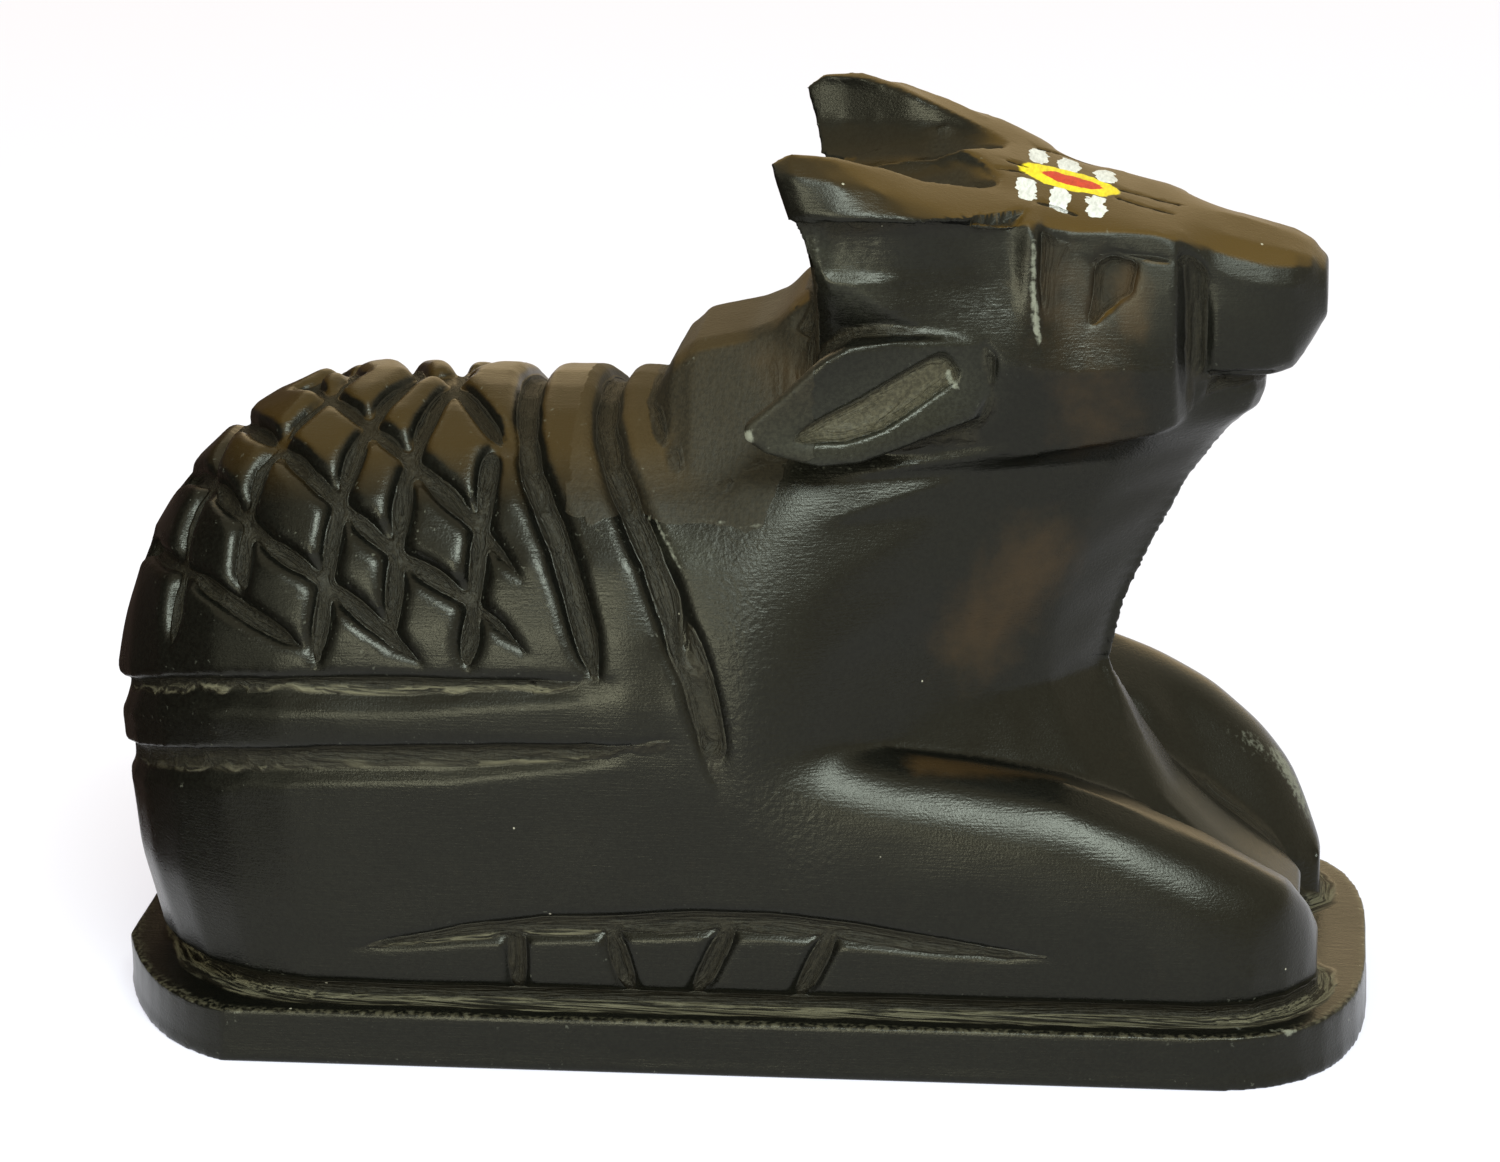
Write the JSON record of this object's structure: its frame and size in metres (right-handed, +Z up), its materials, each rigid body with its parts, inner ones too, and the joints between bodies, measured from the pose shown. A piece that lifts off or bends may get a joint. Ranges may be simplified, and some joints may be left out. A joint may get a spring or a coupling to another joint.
{
  "type": "nandi bull figure",
  "caption": "Small carved figure of a reclining nandi bull on its plinth, with horns, hump and cross-cut back, to stand on a shelf or altar.",
  "frame": {"origin": "centre of the plinth's underside", "axes": "+X the way the bull faces, +Y to its left side, +Z up"},
  "size_m": [0.101, 0.043, 0.0731],
  "materials": {
    "black_stone": "polished near-black green-grey stone with file marks in its cuts"
  },
  "bodies": {
    "root": {"nandi_figure": "black_stone"}
  },
  "joints": []
}
